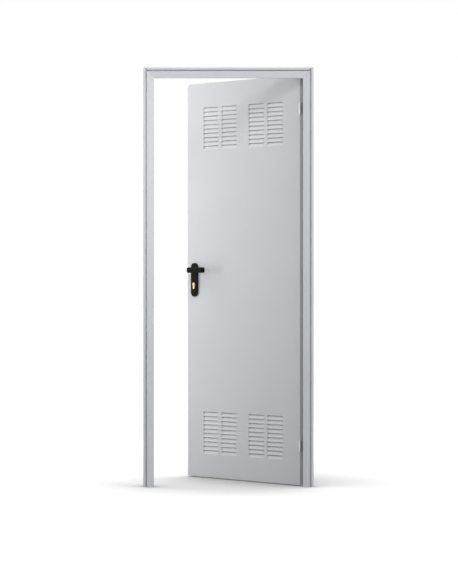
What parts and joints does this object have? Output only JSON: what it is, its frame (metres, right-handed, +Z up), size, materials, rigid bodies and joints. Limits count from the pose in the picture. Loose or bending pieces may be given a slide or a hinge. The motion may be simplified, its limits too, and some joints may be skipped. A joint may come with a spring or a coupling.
{
  "type": "steel utility door",
  "caption": "Hinged steel door with pressed louvre vents near its top and foot, a black lever handle set and a folded sheet frame, half open.",
  "frame": {"origin": "on the wall face of the hinge jamb's flange, at the floor", "axes": "+X out of the hinge jamb into the wall, +Y from the frame's front to its back, the way the leaf opens, +Z up"},
  "size_m": [0.83, 0.6068, 2.045],
  "materials": {
    "frame_paint": "satin",
    "leaf_paint": "satin",
    "zinc": "dull",
    "hinge_steel": "satin",
    "lock_steel": "satin",
    "black": "matt",
    "brass": "satin"
  },
  "bodies": {
    "frame": {"hinge_jamb": "frame_paint", "lock_jamb": "frame_paint", "head_jamb": "frame_paint", "strike_box": "zinc", "lower_hinge_frame_half": "hinge_steel", "lower_hinge_pin": "hinge_steel", "lower_hinge_washer": "hinge_steel", "upper_hinge_frame_half": "hinge_steel", "upper_hinge_pin": "hinge_steel", "upper_hinge_washer": "hinge_steel"},
    "leaf": {"leaf_front_skin": "leaf_paint", "leaf_back_skin": "leaf_paint", "upper_vent_duct": "zinc", "lower_vent_duct": "zinc", "lower_hinge_leaf_half": "hinge_steel", "upper_hinge_leaf_half": "hinge_steel", "lock_case": "zinc", "lock_faceplate": "lock_steel", "latch_bolt": "lock_steel", "dead_bolt": "lock_steel", "lock_cylinder": "brass", "front_cylinder_plug": "brass", "back_cylinder_plug": "brass", "front_handle_plate": "black", "back_handle_plate": "black"},
    "handle": {"front_lever": "black", "back_lever": "black", "lever_spindle": "lock_steel"}
  },
  "joints": [
    {"name": "leaf_swing", "type": "hinge", "parent": "frame", "child": "leaf", "pos_m": [-0.0295, 0.059, 0], "axis": [0, 0, -1], "range_deg": [-43, 67]},
    {"name": "handle_turn", "type": "hinge", "parent": "leaf", "child": "handle", "pos_m": [-0.57261, 0.52717, 1.059], "axis": [0.682, 0.7314, 0], "range_deg": [0, 40], "stiffness_Nm_per_rad": 1.2, "springref_deg": -22.92}
  ]
}
